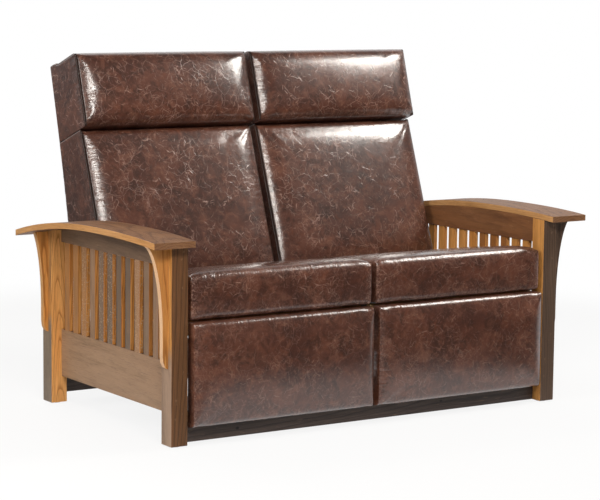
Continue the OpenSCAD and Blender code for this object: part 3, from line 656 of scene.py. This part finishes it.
class SoftForm:
    """An upholstered form in shares from -1 to 1: across, from front to rear, and up its face.

    Its outline from front to top is rounded. Its two ends are sewn seams, and away from them
    the cover swells out. place maps the shares, which swelling takes past 1, to the row frame.
    reach is the run over which the cover rises from an end, broad is a wider swelling of the
    front, and edge_hold is the share that is held back at the face's lower and upper edges."""

    def __init__(self, name, size, place, seed, radii, wear_glint_share, swell=(0, 0, 0), blown=None, reach=0.024,
                 broad=0.0, edge_hold=0.6, edge_reach=0.03, puckers=0.0003, seam=""):
        self.name = name
        self.half = np.array(size) / 2
        self.place = place
        self.seed = seed
        self.blown = blown
        self.reach = reach
        self.edge_hold = edge_hold
        self.edge_reach = edge_reach
        self.puckers = puckers
        self.seam = seam
        self.wear_glint_share = wear_glint_share
        self.broad = broad
        counts = [max(2, round(side / cell_size)) for side in size]
        steps, self.faces = box_grid(counts)
        even = 2 * steps / np.array(counts) - 1
        self.shares = even + edge_share * np.sin(math.pi * even) / math.pi
        self.own = self.swollen(self.rounded(radii), swell)

    def rounded(self, radii):
        """The form's points from its centre, with its outline rounded. self.out is the way out there."""
        own = self.shares * self.half
        front_low, front_top, rear = radii
        at_front = self.shares[:, 1] < 0
        radius = np.where(at_front, np.where(self.shares[:, 2] > 0, front_top, front_low), rear)
        limit = self.half[None, 1:] - radius[:, None]
        inner = np.clip(own[:, 1:], -limit, limit)
        away = own[:, 1:] - inner
        length = np.linalg.norm(away, axis=1)
        outline = (np.abs(self.shares[:, 1:]) > edge_from).any(axis=1)
        self.out = away / np.maximum(length, tiny)[:, None]
        own[:, 1:] = np.where(outline[:, None], inner + self.out * radius[:, None], own[:, 1:])
        self.out *= outline[:, None]
        return own

    def gaps(self, shares):
        """Each point's way from the end seams, and from the face's lower and upper edges."""
        from_end = (1 - np.abs(shares[:, 0])) * self.half[0]
        from_edge = (1 - np.abs(shares[:, 2])) * self.half[2]
        return from_end, from_edge

    def swollen(self, own, swell):
        """The points moved out to the front, up and down, less so near the ends and edges."""
        from_end, from_edge = self.gaps(self.shares)
        rise = 1 - np.exp(-from_end / self.reach)
        hold_back = 1 - self.edge_hold * np.exp(-from_edge / self.edge_reach)
        front = np.clip(-self.out[:, 0], 0, 1) * hold_back
        top = np.clip(self.out[:, 1], 0, 1) * rise
        low = np.clip(-self.out[:, 1], 0, 1) * rise
        hold = 1 - smooth((self.shares[:, 1] - full_swell_share) / (1 - full_swell_share))
        own[:, 1] -= front * (swell[0] * rise + self.broad * (1 - np.exp(-from_end / broad_reach)))
        own[:, 2] += (swell[1] * top - swell[2] * low) * hold
        return own

    def build(self):
        world = self.place(self.own / self.half)
        piece = mesh_object(self.name, world, self.faces)
        if self.blown:
            self.inflate(piece, world)
        self.refine(piece)
        return piece

    def inflate(self, piece, world):
        """Blows the cover up with cloth simulation. The rear rests on its board and holds still."""
        normals = np.empty(len(world) * 3, np.float32)
        piece.data.vertices.foreach_get("normal", normals)
        normals = normals.reshape(-1, 3)
        hold = smooth(self.shares[:, 1] / held_share)
        group = piece.vertex_groups.new(name="hold")
        for index, weight in enumerate(hold):
            if weight > 0:
                group.add([index], float(weight), "REPLACE")
        cloth = piece.modifiers.new("cloth", "CLOTH")
        settings = cloth.settings
        settings.quality = 5
        settings.mass = 0.3
        settings.tension_stiffness = 10
        settings.compression_stiffness = 10
        settings.shear_stiffness = 5
        settings.bending_stiffness = 0.8
        settings.use_pressure = True
        settings.uniform_pressure_force = 4
        settings.vertex_group_mass = "hold"
        settings.effector_weights.gravity = 0
        cloth.point_cache.frame_start = 1
        cloth.point_cache.frame_end = cloth_steps
        for step in range(1, cloth_steps + 1):
            scene.frame_set(step)
        graph = bpy.context.evaluated_depsgraph_get()
        after = np.empty(len(world) * 3, np.float32)
        piece.evaluated_get(graph).data.vertices.foreach_get("co", after)
        after = after.reshape(-1, 3)
        piece.modifiers.clear()
        piece.vertex_groups.clear()
        scene.frame_set(1)
        moved = after - world
        limit = np.abs(normals) @ np.array(self.blown)
        length = np.linalg.norm(moved, axis=1)
        kept = limit * (1 - np.exp(-blown_share * length / np.maximum(limit, tiny)))
        moved *= (kept / np.maximum(length, tiny))[:, None]
        piece.data.vertices.foreach_set("co", (world + moved).astype(np.float32).ravel())
        piece.data.update()

    def refine(self, piece):
        """Adds one subdivision, the puckers along the seams and the pale wear and painted highlight along the
        edges.
        """
        divide = piece.modifiers.new("divide", "SUBSURF")
        divide.levels = 1
        divide.render_levels = 1
        if self.seam == "ends":
            self.crease_ends(piece.data)
        self.note(piece.data, "shares", self.shares)
        graph = bpy.context.evaluated_depsgraph_get()
        fine = bpy.data.meshes.new_from_object(piece.evaluated_get(graph))
        piece.modifiers.clear()
        piece.data = fine
        points, normals, shares = (np.empty((len(fine.vertices), 3), np.float32) for _ in range(3))
        fine.vertices.foreach_get("co", points.ravel())
        fine.vertices.foreach_get("normal", normals.ravel())
        fine.attributes["shares"].data.foreach_get("vector", shares.ravel())
        fine.attributes.remove(fine.attributes["shares"])
        from_front = (shares[:, 1] + 1) * self.half[1]
        from_end, from_edge = self.gaps(shares)
        on_end = np.abs(shares[:, 0]) > edge_from
        run_up = shares[:, 2] * self.half[2]
        run_across = shares[:, 0] * self.half[0]
        end_near = np.where(on_end, from_front, from_end)
        edge_near = from_edge + from_front
        lift = pucker(run_up, end_near, self.seed)
        lift = lift + edge_pucker_share * pucker(run_across, edge_near, self.seed + 5)
        points += normals * (self.puckers * lift)[:, None]
        fine.vertices.foreach_set("co", points.ravel())
        fine.update()
        seeds = np.full_like(run_up, self.seed)
        self.note(fine, "end_fold", np.stack([run_up, end_near, seeds], axis=1))
        self.note(fine, "edge_fold", np.stack([run_across, edge_near, seeds], axis=1))
        # Pale along the seams and edges: partly wear, partly a painted highlight on the rounded edges
        wear_and_glint = np.exp(-end_near / end_wear_glint_reach) + edge_wear_glint_share * np.exp(-edge_near / edge_wear_glint_reach)
        self.note(fine, "wear_and_glint", np.clip(self.wear_glint_share * wear_and_glint, 0, 1))
        self.note(fine, "seam", self.seam_line(on_end, from_front, from_end))
        for face in fine.polygons:
            face.use_smooth = True

    def seam_line(self, on_end, from_front, from_end):
        if self.seam == "front":
            return line_along(from_front, panel_line)
        if self.seam == "ends":
            return np.where(on_end, line_along(from_front, end_line), line_along(from_end, face_line))
        return np.zeros_like(from_front)

    def note(self, mesh, name, values):
        """Stores a value, or a vector, at each point of a mesh."""
        plain = values.ndim == 1
        layer = mesh.attributes.new(name, "FLOAT" if plain else "FLOAT_VECTOR", "POINT")
        layer.data.foreach_set("value" if plain else "vector", values.astype(np.float32).ravel())

    def crease_ends(self, mesh):
        """Keeps the two sewn end seams crisp when the cover is subdivided."""
        at_end = np.abs(self.shares[:, 0]) > edge_from
        at_rim = at_end & (np.abs(self.shares[:, 1:]) > edge_from).any(axis=1)
        edges = np.empty(len(mesh.edges) * 2, np.int32)
        mesh.edges.foreach_get("vertices", edges)
        sharp = at_rim[edges.reshape(-1, 2)].all(axis=1)
        crease = mesh.attributes.new("crease_edge", "FLOAT", "EDGE")
        crease.data.foreach_set("value", sharp.astype(np.float32))


def back_point(n, w):
    """A point of the back: n through it from its face, w up its face. Arrays give arrays."""
    y = leg_front_y + back_foot_y + n * math.cos(back_lean) + w * math.sin(back_lean)
    z = back_foot_z - n * math.sin(back_lean) + w * math.cos(back_lean)
    return y, z


def rear_n(w):
    """The way through the back to its rear face, which is slightly hollow, at a height up its face."""
    share = (w + outside_drop) / (back_top_w + outside_cover + outside_drop)
    return rear_low_n + (rear_top_n - rear_low_n) * share - rear_hollow * np.sin(math.pi * share)


def span(node, inset=0.0):
    low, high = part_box(node)
    return low.x + inset, high.x - inset


def filled(ends):
    """The ends of a filled cushion, which presses out past its plain form, mostly on its open side."""
    low, high = ends
    if low + high < 0:
        return low - open_side_fill, high + mid_side_fill
    return low - mid_side_fill, high + open_side_fill


def widen(shares, ends):
    return (ends[0] + ends[1]) / 2 + shares[:, 0] * (ends[1] - ends[0]) / 2


def seat_place(ends):
    def place(shares):
        depth = (shares[:, 1] + 1) / 2 * seat_length
        height = seat_top_z - seat_front_height * (1 - shares[:, 2]) / 2
        y = leg_front_y + depth * math.cos(seat_slope)
        z = height - depth * math.sin(seat_slope)
        return np.stack([widen(shares, ends), y, z], axis=1)
    return place


def back_place(ends, low_w, height, low_n, top_n, tuck=0.0):
    """A back cushion of some height from low_w up, with its face at low_n below and top_n above.

    tuck is how far the front's lower lip reaches down behind the seat."""
    def place(shares):
        up = (shares[:, 2] + 1) / 2
        face = low_n + (top_n - low_n) * up
        n = face + (back_thickness - face) * (shares[:, 1] + 1) / 2
        lip = tuck * (1 - up) * ((1 - shares[:, 1]) / 2) ** 2
        y, z = back_point(n, low_w + height * up - lip)
        return np.stack([widen(shares, ends), y, z], axis=1)
    return place


def footrest_place(ends):
    def place(shares):
        y = leg_front_y - footrest_front + footrest_thickness * (shares[:, 1] + 1) / 2
        z = footrest_low + (footrest_high - footrest_low) * (shares[:, 2] + 1) / 2
        return np.stack([widen(shares, ends), y, z], axis=1)
    return place


def side_place(ends, low_w, high_w, low_n, top_n, drop, cap):
    """A side panel: across its thickness, from the front seam to the rear, and up the back.

    Toward the rear its lower end falls by drop, and its upper end rises by cap."""
    def place(shares):
        up = (shares[:, 2] + 1) / 2
        face = low_n + (top_n - low_n) * up + panel_seam_inset
        rear = rear_n(low_w + (high_w - low_w) * up) - outside_cover
        n = face + (rear - face) * (shares[:, 1] + 1) / 2
        low = low_w - drop * np.clip((n - frame_n) / panel_drop_run, 0, 1)
        high = high_w + cap * smooth((n - frame_n + panel_cap_start) / panel_cap_run)
        y, z = back_point(n, low + (high - low) * up)
        return np.stack([widen(shares, ends), y, z], axis=1)
    return place


def outside_place(ends):
    """The outside back: across, through its cover, and up the rear face and over the top."""
    rise = back_top_w + outside_cover + outside_drop
    over = rear_top_n - frame_n

    def place(shares):
        run = (shares[:, 2] + 1) / 2 * (rise + over)
        inward = outside_cover * (1 - shares[:, 1]) / 2
        w = np.minimum(run, rise) - outside_drop
        n = rear_n(w) - np.maximum(run - rise, 0)
        turn = smooth((run - rise + outside_turn / 2) / outside_turn) * math.pi / 2
        y, z = back_point(n - inward * np.cos(turn), w - inward * np.sin(turn))
        return np.stack([widen(shares, ends), y, z], axis=1)
    return place


def add_cushions(side, seed, hide):
    """The seat, lower back, headrest and footrest cushions of one seat."""
    seat_ends = filled(span(f"{side}_seat_cushion"))
    back_ends = span(f"{side}_back_cushion", side_inset)
    wide = seat_ends[1] - seat_ends[0]
    left, right = span(f"{side}_back_cushion")
    back_wide = right - left
    head_depth = back_thickness + (headrest_low_proud + headrest_top_proud) / 2
    head_form = {"broad": headrest_broad[side], **headrest_form}
    footrest_height = footrest_high - footrest_low
    cushions = (
        ("seat", "seat_cushion", 0.8, (wide, seat_length, seat_front_height),
         seat_place(seat_ends), seat_form),
        ("back", "back_cushion", 0.8, (back_wide, back_thickness, back_length),
         back_place(back_ends, 0, back_length, 0, 0, back_tuck), back_form),
        ("back", "headrest_cushion", 0.9, (back_wide, head_depth, headrest_height),
         back_place(back_ends, headrest_low_w, headrest_height, -headrest_low_proud, -headrest_top_proud),
         head_form),
        ("footrest", "footrest_cushion", 0.85, (wide, footrest_thickness, footrest_height),
         footrest_place(seat_ends), footrest_form),
    )
    for order, (body, node, fill, size, place, form) in enumerate(cushions):
        cushion = SoftForm(f"{side}_{node}_leather", size, place, seed + order, **form)
        finish_soft(cushion.build(), f"{side}_{body}", hide, f"{side}_{node}")


def add_back_covers(side, seed, hide):
    """The panels on both sides of a back, a lower and an upper one on each, and its outside cover."""
    left, right = span(f"{side}_back_cushion")
    panels = (
        ("lower", 0.0, panel_seam_w, 0.0, 0.0, outside_drop, 0.0),
        ("upper", panel_seam_w + panel_gap, panel_top_w, -headrest_low_proud, -headrest_top_proud,
         0.0, panel_cap),
    )
    for edge, outer, inward in (("low_x", left, 1), ("high_x", right, -1)):
        ends = sorted((outer - inward * panel_proud, outer + inward * panel_thickness))
        for part, low_w, high_w, low_n, top_n, drop, cap in panels:
            size = (panel_thickness + panel_proud, panel_depth, high_w - low_w)
            place = side_place(ends, low_w, high_w, low_n, top_n, drop, cap)
            panel = SoftForm(f"{side}_{part}_side_{edge}", size, place, seed + 6, **panel_form)
            finish_soft(panel.build(), f"{side}_back", hide, f"{side}_back_sides")
    size = (right - left, outside_cover, back_top_w + outside_drop + outside_top_run)
    place = outside_place(span(f"{side}_outside_back", outside_inset))
    cover = SoftForm(f"{side}_outside_back_leather", size, place, seed + 8, **outside_form)
    finish_soft(cover.build(), f"{side}_back", hide, f"{side}_outside_back")


def finish_soft(piece, body, hide, node):
    """Gives a cover its leather, attaches it to the body it rides on and hides the CAD node it stands for."""
    piece.data.materials.append(hide)
    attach(piece, body)
    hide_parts(node)


# Tones for the wood, each dark, middle and pale. Most are stains. grey, rail, slate and mud, on the left
# side's outer faces, also hold a painted grey sheen; peach and edge, on the corbels' and arm tops' edges, a
# painted highlight; and the amber tones the painted front light on the rear left leg's front face
brown = ("40260f", "5f3f20", "70492a")
honey = ("7c4714", "b2763a", "cc9450")
flame = ("8a4f18", "cc8640", "e0a45c")
# Painted front light: brighter than the wood's own tone, for the rear left leg's shaded front face
lit_amber = ("93541d", "d4904a", "e8b06c")
grey = ("6f5a48", "927560", "a08570")
rail = ("6f5740", "93735a", "a08166")
tan = ("5a371f", "7c5536", "8f6746")
edge = ("9a6a38", "bb8852", "cfa06c")
peach = ("c79a70", "d8ae86", "e2bd98")
rust = ("4e2e1a", "7c4f2e", "8f6340")
char = ("2a211e", "463a36", "564841")
slate = ("55453a", "765e4c", "856c57")
mud = ("5e5347", "7b6b5b", "8b7a68")
gold = ("8a5722", "c08240", "d69c58")
dark = ("3b2c21", "544033", "654e3d")
pine = ("a97f4c", "c49d68", "d6b382")

# Boards whose figure differs from that of the others
left_post = {"upper": (0.25, 0.31, honey)}
bold_post = {"ring": 0.0065, "taper": 0.06, "line": 0.3, "front_figure": 0.85, **left_post}
faint = {"side_figure": 0.14}
knotty = {"side_figure": 0.14, "knots": rail_knots}

# Each board's node, the axis of its grain, its stain, which on the rear left leg holds painted
# front light, its side faces' tones, which hold a painted grey sheen on the left side's outer faces
# and a painted highlight on the corbels' and arm tops' edges, its heart line's place from its
# centre across the grain, and what differs in its figure
oak_boards = (
    ("front_left_leg", "Z", brown, grey, (0.06, 0.05), left_post),
    ("front_right_leg", "Z", dark, gold, (-0.07, 0.04), {}),
    ("rear_left_leg", "Z", lit_amber, mud, (0.003, -0.004), bold_post),
    ("rear_right_leg", "Z", brown, gold, (0.05, 0.06), {}),
    ("left_side_rail", "Y", tan, rail, (-0.3, 0.02), faint),
    ("right_side_rail", "Y", tan, rust, (0.3, 0.01), faint),
    ("left_arm_apron", "Y", slate, slate, (0.2, 0.03), {}),
    ("right_arm_apron", "Y", rust, rust, (-0.2, 0.02), {}),
    ("left_arm_top", "Y", tan, edge, (0.01, -0.14), {}),
    ("right_arm_top", "Y", tan, edge, (0.02, -0.16), {}),
    ("front_left_corbel", "Z", honey, peach, (0.0, 0.16), {}),
    ("front_right_corbel", "Z", dark, peach, (0.04, 0.17), {}),
    ("rear_left_corbel", "Z", flame, edge, (0.03, 0.15), {}),
    ("rear_right_corbel", "Z", tan, edge, (0.03, 0.15), {}),
    ("front_rail", "X", char, char, (-0.06, 0.03), knotty),
    ("rear_rail", "X", char, char, (0.08, 0.05), faint),
)

# Each side's slats: their side faces' tones, on the left slats' outer faces a painted grey sheen,
# their seed, how strongly some are specked, and their darkest and warmest tones
slat_sets = (
    ("left", grey, 17, 0.9, ("62574e", "a8743f")),
    ("right", gold, 18, 0.0, ("8a5428", "c9853f")),
)
slat_width = 0.032
slat_count = 12
slat_heart = (0.1, 0.02)

# The hidden boards' grain, by the ends of their names
pine_grains = (
    ("X", ("cross_rail", "cross_rails", "back_rails", "board")),
    ("Y", ("side_rails",)),
    ("Z", ("posts",)),
)
pine_heart = (0.05, 0.04)
pine_seed = 20


def dress_boards():
    """Each board gets its own grain and stain, and its side faces other tones, with a painted grey sheen on
    the left side's outer faces and a painted highlight on the corbels' and arm tops' edges.
    """
    for seed, (node, grain, tones, side_tones_and_light, heart, figure) in enumerate(oak_boards, 1):
        paint(node, wood(node + "_oak", grain, tones, side_tones_and_light, centre_of(node), heart, seed, **figure))
        ease_edges(node, leg_ease)


def dress_slats():
    for side, side_tones_and_light, seed, speck, stains in slat_sets:
        node = side + "_slats"
        low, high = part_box(node)
        pitch = (high.y - low.y - slat_width) / (slat_count - 1)
        first = low.y - (pitch - slat_width) / 2
        paint(node, wood(node + "_oak", "Z", flame, side_tones_and_light, centre_of(node), slat_heart, seed,
                         boards=(first, pitch), speck=speck, stains=stains))
        ease_edges(node, slat_ease)


def dress_hidden_boards():
    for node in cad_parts:
        for grain, name_ends in pine_grains:
            if node.endswith(name_ends):
                paint(node, wood(node + "_pine", grain, pine, pine, centre_of(node), pine_heart, pine_seed))
                ease_edges(node, slat_ease, 1)


def dress_hidden_parts():
    steel = steel_material()
    nylon = nylon_material()
    webbing = webbing_material()
    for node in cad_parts:
        if node.endswith(("tracks", "side_plates", "brackets", "links", "torque_tube")):
            paint(node, steel)
        elif node.endswith(("glides", "glide_blocks")):
            paint(node, nylon)
        elif node.endswith("webbing"):
            paint(node, webbing)


# Floor, world and lamps. The floor glows for the camera, a little less near the piece, and for
# mirrored rays near the piece, to the rear and to the right. The world is bright there too
floor_half = 30
shade_start = 1.8
shade_end = 3.2
shaded_glow = 0.85
mirror_start = 0.85
mirror_end = 1.4
mirrored_glow = 0.88
lit_rearward = 1.73
rear_fade = (-0.5, 0.5)
right_fade = (-1.2, 0.2)
left_glow = 0.1
right_glow = 0.9
white = (1, 1, 1, 1)
floor_tone = (0.8, 0.8, 0.8, 1)
mirrored_tone = (0.06, 0.06, 0.06, 1)
bright_way = (0.5, 0.85, 0.0)
bright_fade = (0.2, 0.95)
dim_world = 0.09
bright_world = 0.95
lamp_tint = (1, 0.96, 0.9)

# Each lamp's name, place and target, its width and height, and its power in watts
lamps = (
    ("front_box", (-1.7, -3.6, 2.7), (0, 0, 0.85), (1.55, 0.8), 104),
    ("top_box", (2.1, -0.95, 2.5), (0.15, 0, 0.75), (0.9, 0.65), 48),
    ("left_box", (-3.3, -0.9, 2.0), (-0.6, 0, 0.5), (1.3, 1.3), 66),
    ("far_box", (-0.6, 2.6, 3.2), (0, 0, 0.6), (2.0, 1.2), 40),
)


def floor_material():
    s = new_shader("white_floor")
    path = s.add("LightPath").outputs
    seen = s.most(path["Is Camera Ray"], path["Is Transmission Ray"])
    mirrored = path["Is Glossy Ray"]
    reach = s.vector("LENGTH", s.place)
    x, y = s.split(s.place)[0:2]
    rearward = s.ramp(s.plus(x, s.times(y, lit_rearward)), *rear_fade)
    lit_side = s.times(rearward, s.ramp(x, *right_fade, left_glow, right_glow))
    lit = s.most(s.ramp(reach, mirror_start, mirror_end, mirrored_glow, 0.0), lit_side)
    far = s.ramp(reach, shade_start, shade_end)
    shade = s.times(seen, s.ramp(far, 0.0, 1.0, shaded_glow, 1.0))
    tone = s.mix(mirrored, floor_tone, mirrored_tone)
    matte = s.add("BsdfDiffuse", {"Color": tone}).outputs[0]
    glow = s.add("Emission", {"Color": white, "Strength": 1.0}).outputs[0]
    glow_share = s.most(shade, s.times(mirrored, lit))
    s.end("OutputMaterial", s.add("MixShader", {0: glow_share, 1: matte, 2: glow}))
    return s.owner


def add_stage():
    """A floor for the piece to stand on, which isn't part of it."""
    ways = ((-1, -1), (1, -1), (1, 1), (-1, 1))
    floor = mesh_object("floor", [(x * floor_half, y * floor_half, 0) for x, y in ways], [(0, 1, 2, 3)])
    floor.data.materials.append(floor_material())


def add_world():
    """White for the camera. As light it is dim in front and brighter to the rear and the right."""
    scene.world = bpy.data.worlds.new("studio")
    s = Shader(scene.world)
    toward = s.dot(s.coordinates["Generated"], bright_way)
    light = s.ramp(toward, *bright_fade, dim_world, bright_world)
    path = s.add("LightPath").outputs
    seen = s.most(path["Is Camera Ray"], path["Is Transmission Ray"])
    strength = s.add("Mix", {0: seen, 2: light, 3: 1.0}).outputs[0]
    s.end("OutputWorld", s.add("Background", {"Color": white, "Strength": strength}))


def add_lamps():
    for name, place, target, size, power in lamps:
        data = bpy.data.lights.new(name, "AREA")
        data.shape = "RECTANGLE"
        data.size, data.size_y = size
        data.energy = power
        data.color = lamp_tint
        lamp = bpy.data.objects.new(name, data)
        scene.collection.objects.link(lamp)
        lamp.location = place
        lamp.rotation_euler = (Vector(target) - Vector(place)).to_track_quat("-Z", "Y").to_euler()


add_camera()
dress_boards()
dress_slats()
dress_hidden_boards()
dress_hidden_parts()
leather_hide = leather()
for side, seed in (("left", 1), ("right", 11)):
    add_cushions(side, seed, leather_hide)
    add_back_covers(side, seed, leather_hide)
add_stage()
add_world()
add_lamps()
scene.view_settings.view_transform = "Standard"
